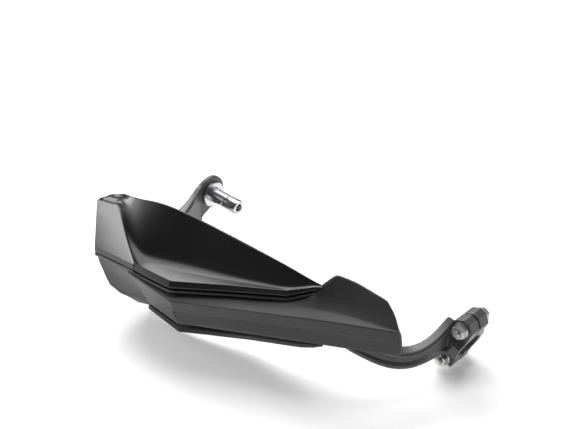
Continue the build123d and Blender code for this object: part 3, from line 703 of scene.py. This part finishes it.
BOSS_BURIED = 1.2
BOSS_FOOT = 1.0
BOSS_ROWS = [(0, 6.9), (0.6, 7.5), (BOSS_FOOT, 7.5), (BOSS_FOOT, 4.5), (0, 4.5)]
POST_RADIUS = 3.6
POST_BORE = 1.8
POST_CHAMFER = 0.3
NOSE_ROUND = [3.0, 2.5, 1.5, 1.0, 1.2]
NOSE_START = [(-14, 24), (-10, 24), (-6, 23.5), (-3, 22.5), (0.5, 20.5), (10.5, -12), (-5.4, -29)]
NOSE_STOP = [(-18, 32), (-13, 31.6), (-9, 30.5), (-7.5, 29.3), (-1.2, 27.6), (-26, -14), (-31.5, -25)]
NOSE = [(2, -138, 0, NOSE_START), (60, -146.4, 24, NOSE_STOP)]
CORNER = (101.5, -145.5, 40)
CORNER_SHELF = [(-26, 33.6), (-20, 32.8), (-16, 30.8), (-12.5, 28)]
CHEEK_SHELF = [(-17, 32.5), (-12, 32), (-8.5, 30.8), (-7.5, 29.5)]
CHEEK_START = (56, -146, 24, CHEEK_SHELF + stepped((0, 28), (-30.6, -23), 0))
CHEEK_STOP = (*CORNER, CORNER_SHELF + stepped((0, 24), (-31.7, -22.5), 0))
CHEEK_SHARE = 0.985
MID_SHELF = [(-30, 36.8), (-25, 36), (-20, 34), (-16.5, 32.4)]
LATE_SHELF = [(-27, 40.5), (-19, 39), (-10.5, 35.2), (-8, 34.4)]
NOTCH_SHELF = [(-19.5, 44.5), (-14, 39.5), (-9.5, 36.2), (-7.5, 35.3)]
PEAK_SHELF = [(-27, 56.6), (-16.5, 41.5), (-9.5, 37), (-7.3, 36)]
WING_SHELF = [(-24.5, 54.4), (-13.2, 40.6), (-7.2, 36.7), (-5.2, 36)]
END_SHELF = [(-9, 44.5), (-3.4, 40.3), (-1.0, 37.6), (-0.4, 36.8)]
FRONT = [
    (*CORNER, CORNER_SHELF + stepped((0, 24), (-31.7, -22.5), 1.8)),
    (157, -118, 46, MID_SHELF + stepped((0, 29), (-20.2, -8.9), 1.8)),
    (191, -102, 42, LATE_SHELF + stepped((0, 32), (-12.5, -0.5), 1.8)),
    (199, -98, 39, NOTCH_SHELF + stepped((0, 32.7), (-10, 2), 1.8)),
    (212, -91.9, 35, PEAK_SHELF + stepped((0, 33.7), (-6.6, 5.5), 1.3)),
    (224, -86, 30, WING_SHELF + stepped((0, 34.5), (-4, 8.6), 0.7)),
    (264, -66.5, 0, END_SHELF + stepped((0, 36.2), (3.5, 17.5), 0)),
]
FACE_EASE = [0.4, 0.4, 0.5, 8.0, 6.0, 5.0, 5.0, 6.0, 5.0]
EDGE_EASE = [0.4, 0.4, 0.5, 8.0, 3.0, 1.2, 1.6, 4.0, 5.0]
EDGE_WEIGHTS = [1, 1, 1, 1, 1, 0.8, 0.6, 0.4, 0.2]
NOSE_EDGE = [(12, 28.5), (14.6, 19), (20.5, 8), (24.7, -7.5), (33, -15), (40, -31)]
WING_CORNERS = (4.5, 3.0)
WING_LENGTH = 45.0
WING_BULGE = 0.04
WING_SAMPLES = 240
WING_PASSES = 400
WING_ENDS = [0.54, 0.690, 0.764, 0.782, 0.803, 0.837, 0.845, 0.871]

shell_shape = bmesh.new()
nose = filled_rows([wall_ring(s, NOSE_ROUND, SHELL_WALL) for s in NOSE], SHELL_STEP)
wall_mesh(shell_shape, trimmed_rows(nose, NOSE_EDGE))
cheek_start, cheek_stop = [wall_ring(s, SHELL_ROUND, SHELL_WALL) for s in (CHEEK_START, CHEEK_STOP)]
front_rings = [cheek_start, cheek_start + CHEEK_SHARE * (cheek_stop - cheek_start)]
front_rings += [wall_ring(s, SHELL_ROUND, SHELL_WALL) for s in FRONT]
outer_count = len(cheek_start) // 2 - EDGE_TURNS
bend_stops = [(STRAIGHT_POINTS + BEND_POINTS) * k for k in range(1, len(SHELL_ROUND) + 1)]
corner_rows = [0] + [row - BEND_POINTS // 2 for row in bend_stops] + [outer_count - 1]
edge_run = np.linalg.norm(np.diff(front_rings[-1][:outer_count], axis=0), axis=1)
edge_run = np.concatenate([[0], np.cumsum(edge_run)])
wing_share = np.interp(edge_run, edge_run[corner_rows], WING_ENDS)
past_corner = np.clip(edge_run / edge_run[corner_rows[1]], 0, 1)
wing_share += WING_BULGE * 4 * past_corner * (1 - past_corner)
evenly = np.linspace(0, edge_run[-1], WING_SAMPLES)
even_share = np.interp(evenly, edge_run, wing_share)
for _ in range(WING_PASSES):
    even_share[1:-1] = (even_share[:-2] + 2 * even_share[1:-1] + even_share[2:]) / 4
for radius, distance in zip(WING_CORNERS, (evenly, evenly[-1] - evenly)):
    even_share -= corner_cut(distance + SHELL_WALL / 2, radius) / WING_LENGTH
wing_share = round_wall(np.interp(edge_run, evenly, even_share))[:, None]
below_edge = SHELL_WALL / 2 * (1 - np.sin(pi * np.arange(1, EDGE_TURNS + 1) / (EDGE_TURNS + 1)))
upper_edge, lower_edge = slice(-EDGE_TURNS, None), slice(outer_count, outer_count + EDGE_TURNS)
for radius, ends in zip(WING_CORNERS, (upper_edge, lower_edge)):
    further = corner_cut(below_edge, radius) - corner_cut(SHELL_WALL / 2, radius)
    wing_share[ends, 0] -= further / WING_LENGTH
front_rings[-1] = front_rings[-2] + wing_share * (front_rings[-1] - front_rings[-2])
front = filled_rows(front_rings, SHELL_STEP)
stops = station_stops(front_rings, SHELL_STEP)
near_edge = np.zeros(outer_count)
near_edge[:len(EDGE_WEIGHTS)] = EDGE_WEIGHTS
near_edge = round_wall(near_edge)
face_ease, edge_ease = [np.interp(np.arange(len(front)), stops, ease) for ease in (FACE_EASE, EDGE_EASE)]
front_reach = np.outer(face_ease, 1 - near_edge) + np.outer(edge_ease, near_edge)
front = eased_rows(front, front_reach, SHELL_STEP)
wall_mesh(shell_shape, front)

PANEL_WALL = 2.5
FACET = [
    (-3, -122, 39.8, [(0, 54), (12, 40), (23.8, 26.6), (25, 23)]),
    (13.5, -116.5, 59.8, [(0, 62.5), (30, 47.2), (54.2, 35.6), (55.4, 31.9)]),
]
SCOOP = [
    (14.8, -116.1, 59.6, [(0, 62.9), (30, 47.2), (52.7, 37), (55.3, 31.5)]),
    (36, -111, 47.6, [(0, 68.2), (33, 38.5), (46, 37), (48.6, 31.5)]),
    (57, -105.5, 35.2, [(0, 71), (26, 37.6), (43.4, 37), (45.9, 31.6)]),
    (89, -97.7, 10.8, [(0, 66), (21, 38), (42.6, 37.3), (45, 32)]),
    (125, -91, 21, [(0, 60.5), (16, 39.4), (26.8, 40), (28.9, 35)]),
    (160, -84, 46.2, [(0, 54.8), (12.5, 42.4), (16.6, 43.4), (18.4, 39)]),
    (182, -80, 64, [(0, 50.3), (4, 47.6), (6.6, 47.6), (7.8, 45.6)]),
    (189.5, -78.6, 64, [(0, 48.8), (1.8, 48), (2.8, 48), (3, 47.2)]),
]
LIP_THICK = 1.6
LIP_DEPTH = 6.8
LIP_ROOT = 6.0
LIP_GAP = 0.6
LIP_ROUND = [0.5, 0.5, 0.5, 0.3, 0.3, 0.5]
LIP_POINTS = (3, 4)
LIP_EASE = 1.2
RIB_RISE = 2.4
RIB_THICK = 1.2


def lip_ring(station):
    """Closed loop round the ledge under the panel's turned-down edge."""
    x, y, turn, corners = station
    lowest = min([corners[-1][1]] + [height for _, height in inset(corners, PANEL_WALL)[-2:]])
    front, top = corners[-1][0] + LIP_GAP, lowest - LIP_GAP
    back = front - LIP_DEPTH
    middle = (front - LIP_DEPTH / 3, top)
    outline = [middle, (front, top), (front, top - LIP_THICK), (back, top - LIP_ROOT), (back, top + RIB_RISE)]
    outline += [(back + RIB_THICK, top + RIB_RISE), (back + RIB_THICK, top), middle]
    return at_station(rounded_path(outline, LIP_ROUND, *LIP_POINTS)[:-1], x, y, turn)


lip = filled_rows([lip_ring(s) for s in FACET + SCOOP[:-1]], SHELL_STEP)
lip = eased_rows(lip, np.full(lip.shape[:2], LIP_EASE), SHELL_STEP)
lip_spots = ring_rows(shell_shape, lip)
for ring in (lip_spots[0], lip_spots[-1]):
    shell_shape.faces.new(ring)
wall_tree = BVHTree.FromBMesh(shell_shape)
boss_axes = (-LAP_BACK, LAP_BACK.cross(Vector((0, 0, 1))), Vector((0, 0, 1)))
for spot in insert_seats:
    seated_boss(shell_shape, wall_tree, BOSS_ROWS, boss_axes, spot)
PANEL_POSTS = [(CHEEK_START, -13.5, 25.8, 32.8), (FRONT[0], -20, 28, 33.8), (FRONT[1], -19.5, 28.8, 36.2)]
post_feet = []
for (x, y, turn, _), back, seat, joint in PANEL_POSTS:
    post_feet.append(Vector((x + back * sin(radians(turn)), y - back * cos(radians(turn)), seat)))
    height = joint - seat
    post_rows = [(0, POST_RADIUS), (height - POST_CHAMFER, POST_RADIUS), (height, POST_RADIUS - POST_CHAMFER)]
    post_rows += [(height, POST_BORE), (0, POST_BORE)]
    turned(shell_shape, post_rows, UPRIGHT_AXES, post_feet[-1])
shell_plastic = coated_material(
    "textured black moulding", SHELL_BLACK, dull=0.50, glossy=0.42, grain=1600, bump=0.22,
)
main_shell = moulded_piece("main_shell_moulding", shell_shape, "main_shell", SHELL_EDGE)
dress(main_shell, shell_plastic)


# Lower deflector: a thin moulded plate tucked behind the shell's lower edge, in the same textured black.
# Below the shell it is grooved, and its lower flange stands forward again as a narrow strip.
DEFLECTOR_BLACK = (0.014, 0.014, 0.0144, 1)
DEFLECTOR_WALL = 2.2
DEFLECTOR_GAP = 0.3
DEFLECTOR_TUCK = 4.0
DEFLECTOR_ROUND = [1.5, 0.6, 0.6]
DEFLECTOR_EASE = 1.0
DEFLECTOR_EDGE = 0.0005
GROOVE_DEPTH = 3.6
GROOVE_START = 0.15
GROOVE_STOP = 0.56
FLANGE_START = 0.60
DEFLECTOR_TAILS = [
    (CHEEK_START, (1.1, -10.2)),
    (FRONT[0], (-0.5, -12.6)),
    (FRONT[1], (-8.6, -16.6)),
    (FRONT[2], (-4.4, -12.7)),
    (FRONT[3], (-2.8, -9.8)),
    ((205.5, -95, 37, [(-5.4, 12.6), (-8.3, 3.7)]), (-1.6, -6.2)),
]


def deflector_station(station, tail):
    """Outline of the deflector behind a shell section: tuck, groove and lower flange."""
    x, y, turn, corners = station
    top, bottom = np.array(corners[-2]), np.array(corners[-1])
    along = unit(bottom - top)
    inward = np.array([along[1], -along[0]])
    knee = bottom + inward * (SHELL_WALL + DEFLECTOR_GAP)
    tail = np.array(tail, float)
    back = GROOVE_DEPTH * unit(np.array([tail[1], -tail[0]]))
    outline = [knee - DEFLECTOR_TUCK * along, knee + GROOVE_START * tail + back]
    outline += [knee + GROOVE_STOP * tail + back, knee + FLANGE_START * tail, knee + tail]
    return x, y, turn, [tuple(p) for p in outline]


deflector_shape = bmesh.new()
deflector_stations = [deflector_station(*pair) for pair in DEFLECTOR_TAILS]
deflector_rings = [wall_ring(s, DEFLECTOR_ROUND, DEFLECTOR_WALL) for s in deflector_stations]
deflector = filled_rows(deflector_rings, SHELL_STEP)
deflector = eased_rows(deflector, np.full(deflector.shape[:2], DEFLECTOR_EASE), SHELL_STEP)
wall_mesh(deflector_shape, deflector)
deflector_plastic = coated_material(
    "deflector moulding", DEFLECTOR_BLACK, dull=0.64, glossy=0.56, grain=1600, bump=0.22,
)
lower_deflector = moulded_piece(
    "lower_deflector_moulding", deflector_shape, "lower_deflector", DEFLECTOR_EDGE,
)
dress(lower_deflector, deflector_plastic)


# Upper panel: the separate scooped panel, moulded in smoother satin black, with a flat facet at its nose
# and a turned-down edge that sits on the shell's ledge. Small screws hold it from below.
PANEL_STEP = 0.7
PANEL_ROUND = [9.0, 0.8]
PANEL_POINTS = (22, 12, 1.5)
PANEL_EDGE = 0.0005
PANEL_BLACK = (0.004, 0.004, 0.0042, 1)
TIP_WALL = 0.8
PANEL_EASE = [0.2, 1.5, 1.5, 4.0, 6.0, 6.0, 9.0, 7.0, 2.0, 1.0]
RIM_EASE = 1.0
FIRM_SHARE = (0.30, 0.64)
POCKET_START = np.array([-3, -122, 54.0])
POCKET_STOP = np.array([20.3, -120.5, 58.5])
POCKET_RISE = 4.5
RISE_SPAN = ((-1.5, 9), (12, 46))
BACK_SPAN = ((0, 5), (16, 36))
PANEL_BOSS_GAP = 0.3
PANEL_BOSS_MARGIN = 8.0
PANEL_BOSS_ROWS = [(0, 2.4), (0.3, 2.6), (BOSS_FOOT, 2.6), (BOSS_FOOT, 1.5), (0, 1.5)]
POCKET_STEPS = [(0.0, 0.0), (2.7, 1.2), (4.2, 3.2), (7.2, 4.5), (8.4, 5.6), (12.0, 8.6)]


def both_faces(shift):
    """A shift for each point of a wall's outer face, carried round its edges to the inner face."""
    last, first = shift[:, -1:].repeat(EDGE_TURNS, 1), shift[:, :1].repeat(EDGE_TURNS, 1)
    return np.concatenate([shift, last, shift[:, ::-1], first], axis=1)


def eased_step(values, low, high):
    """0 below the low value, 1 above the high value, and smooth between them."""
    share = np.clip((values - low) / (high - low), 0, 1)
    return share * share * (3 - 2 * share)


def hump(values, rise, fall):
    """Rises from 0 to 1 over one span of values, and falls again over another."""
    return eased_step(values, *rise) * (1 - eased_step(values, *fall))


panel_shape = bmesh.new()
panel_rings = [wall_ring(s, PANEL_ROUND, PANEL_WALL, *PANEL_POINTS) for s in FACET + SCOOP[:-1]]
panel_rings.append(wall_ring(SCOOP[-1], PANEL_ROUND, TIP_WALL, *PANEL_POINTS))
panel = filled_rows(panel_rings, PANEL_STEP)
panel_stops = station_stops(panel_rings, PANEL_STEP)
along_ease = np.interp(np.arange(len(panel)), panel_stops, PANEL_EASE)
panel_outer = panel.shape[1] // 2 - EDGE_TURNS
panel_share = round_wall(1 - eased_step(np.linspace(0, 1, panel_outer), *FIRM_SHARE))
rim_ease = np.minimum(along_ease, RIM_EASE)
panel_reach = rim_ease[:, None] + np.outer(along_ease - rim_ease, panel_share)
panel = eased_rows(panel, panel_reach, PANEL_STEP)

line = unit(POCKET_STOP - POCKET_START)
ridge_foot = panel[panel_stops[1], panel_outer - 1]
facing_out = unit(np.cross(ridge_foot - POCKET_STOP, line))
upward = unit(np.cross(line, -facing_out))
upward *= np.sign(upward[2])
facing_out *= np.sign(facing_out[2])
face = panel[:, :panel_outer]
above = (face - POCKET_START) @ upward
beside = (face - POCKET_START) @ line
top = above[:, :1]
rise = POCKET_RISE * hump(beside, *RISE_SPAN)
rise *= eased_step(above, top - np.maximum(top, 2.0), top + 0.01)
behind = np.interp(above + rise, *zip(*POCKET_STEPS))
behind *= hump(beside, *BACK_SPAN)
panel += both_faces(rise[..., None] * upward - behind[..., None] * facing_out)
wall_mesh(panel_shape, panel)
panel_tree = BVHTree.FromBMesh(panel_shape)
for foot, (_, _, _, joint) in zip(post_feet, PANEL_POSTS):
    start = Vector((foot.x, foot.y, joint + PANEL_BOSS_GAP))
    seated_boss(panel_shape, panel_tree, PANEL_BOSS_ROWS, UPRIGHT_AXES, start, PANEL_BOSS_MARGIN)
panel_plastic = coated_material(
    "satin black moulding", PANEL_BLACK, dull=0.30, glossy=0.25, grain=1800, bump=0.06,
)
upper_panel = moulded_piece("upper_panel_moulding", panel_shape, "upper_panel", PANEL_EDGE)
dress(upper_panel, panel_plastic)


# Studio: a white paper floor at the guard's lowest edge, soft boxes, and the camera. The bright metal has
# dimmer boxes of its own, and the paper is lifted to white farther out.
FLOOR_SIZE = 6.0
PAPER_WHITE = (0.9, 0.9, 0.9, 1)
SKY_FILL = 0.09
BOX_DISTANCE = 2.0
PAPER_LIFT = 0.14
MIRROR_LIFT = 0.18
LIFT_START = 0.35
LIFT_END = 0.9
AIM = Vector((0.13, -0.08, 0.01))
IMAGE_WIDTH = 571
FOCAL_PIXELS = 1500
SENSOR_WIDTH = 36.0
CAMERA_SPOT = Vector((0.753, -0.720, 0.705))
CAMERA_FORWARD = Vector((-0.5594, 0.5999, -0.5721)).normalized()
CAMERA_RIGHT = Vector((0.7314, 0.6820, 0.0)).normalized()


def soft_box(name, azimuth, elevation, width, height, radiance):
    """Area lamp aimed at the guard from a direction in degrees, with a given brightness of its face."""
    direction = Vector((1, 0, 0))
    direction.rotate(Matrix.Rotation(-radians(elevation), 3, "Y"))
    direction.rotate(Matrix.Rotation(radians(azimuth), 3, "Z"))
    lamp = bpy.data.lights.new(name, "AREA")
    lamp.shape = "RECTANGLE"
    lamp.size = width
    lamp.size_y = height
    lamp.energy = radiance * width * height * pi
    box = bpy.data.objects.new(name, lamp)
    box.location = AIM + direction * BOX_DISTANCE
    box.rotation_euler = direction.to_track_quat("Z", "Y").to_euler()
    bpy.context.scene.collection.objects.link(box)
    return box


shielded = bpy.data.collections.new("bright metal")
lit_softly = bpy.data.collections.new("bright metal only")
for piece in bright_metal:
    shielded.objects.link(piece)
    lit_softly.objects.link(piece)
for item in shielded.collection_objects:
    item.light_linking.link_state = "EXCLUDE"
back_box = soft_box("back soft box", 148, 38, 1.7, 0.9, 7.5)
soft_box("top soft box", 125, 72, 1.9, 1.1, 3.8)
left_box = soft_box("left soft box", -150, 19, 1.6, 0.9, 9.5)
soft_box("right soft box", 38, 18, 0.9, 0.9, 4.0)
for box in (back_box, left_box):
    box.light_linking.receiver_collection = shielded
soft_back = soft_box("back metal box", 148, 38, 1.7, 0.9, 1.5)
soft_left = soft_box("left metal box", -150, 19, 1.2, 0.7, 1.2)
for box in (soft_back, soft_left):
    box.light_linking.receiver_collection = lit_softly

floor_mesh = bpy.data.meshes.new("floor")
half_size = FLOOR_SIZE / 2
floor_level = cad_box[0][2]
corners = [(-half_size, -half_size), (half_size, -half_size), (half_size, half_size), (-half_size, half_size)]
floor_mesh.from_pydata([(x, y, floor_level) for x, y in corners], [], [(0, 1, 2, 3)])
floor = bpy.data.objects.new("floor", floor_mesh)
bpy.context.scene.collection.objects.link(floor)
paper = bpy.data.materials.new("white paper")
paper.use_nodes = True
paper_nodes, paper_links = paper.node_tree.nodes, paper.node_tree.links
paper_shader = paper_nodes["Principled BSDF"]
paper_shader.inputs["Base Color"].default_value = PAPER_WHITE
paper_shader.inputs["Roughness"].default_value = 0.9
paper_shader.inputs["Specular IOR Level"].default_value = 0.1
paper_seen = paper_nodes.new("ShaderNodeLightPath")
paper_place = paper_nodes.new("ShaderNodeTexCoord")
paper_reach = paper_nodes.new("ShaderNodeVectorMath")
paper_reach.operation = "LENGTH"
paper_links.new(paper_place.outputs["Object"], paper_reach.inputs[0])
paper_lift = paper_nodes.new("ShaderNodeMapRange")
paper_lift.interpolation_type = "SMOOTHSTEP"
paper_lift.inputs["From Min"].default_value = LIFT_START
paper_lift.inputs["From Max"].default_value = LIFT_END
paper_lift.inputs["To Min"].default_value = PAPER_LIFT
paper_links.new(paper_reach.outputs["Value"], paper_lift.inputs["Value"])
paper_direct = paper_nodes.new("ShaderNodeMath")
paper_direct.operation = "MULTIPLY"
paper_links.new(paper_lift.outputs["Result"], paper_direct.inputs[0])
paper_links.new(paper_seen.outputs["Is Camera Ray"], paper_direct.inputs[1])
paper_mirrored = paper_nodes.new("ShaderNodeMath")
paper_mirrored.operation = "MULTIPLY_ADD"
paper_mirrored.inputs[1].default_value = MIRROR_LIFT
paper_links.new(paper_seen.outputs["Is Glossy Ray"], paper_mirrored.inputs[0])
paper_links.new(paper_direct.outputs["Value"], paper_mirrored.inputs[2])
paper_shader.inputs["Emission Color"].default_value = (1, 1, 1, 1)
paper_links.new(paper_mirrored.outputs["Value"], paper_shader.inputs["Emission Strength"])
floor_mesh.materials.append(paper)

world = bpy.data.worlds.new("studio")
world.use_nodes = True
bpy.context.scene.world = world
sky_nodes, sky_links = world.node_tree.nodes, world.node_tree.links
background = sky_nodes["Background"]
background.inputs["Color"].default_value = (1, 1, 1, 1)
seen = sky_nodes.new("ShaderNodeLightPath")
strength = sky_nodes.new("ShaderNodeMapRange")
strength.inputs["To Min"].default_value = SKY_FILL
strength.inputs["To Max"].default_value = 1.0
sky_links.new(seen.outputs["Is Camera Ray"], strength.inputs["Value"])
sky_links.new(strength.outputs["Result"], background.inputs["Strength"])

lens = bpy.data.cameras.new("camera")
lens.sensor_width = SENSOR_WIDTH
lens.lens = FOCAL_PIXELS / IMAGE_WIDTH * SENSOR_WIDTH
camera = bpy.data.objects.new("camera", lens)
camera_up = CAMERA_RIGHT.cross(CAMERA_FORWARD)
facing = Matrix((CAMERA_RIGHT, camera_up, -CAMERA_FORWARD)).transposed().to_4x4()
camera.matrix_world = Matrix.Translation(CAMERA_SPOT) @ facing
bpy.context.scene.collection.objects.link(camera)
bpy.context.scene.camera = camera
bpy.context.scene.view_settings.view_transform = "Standard"
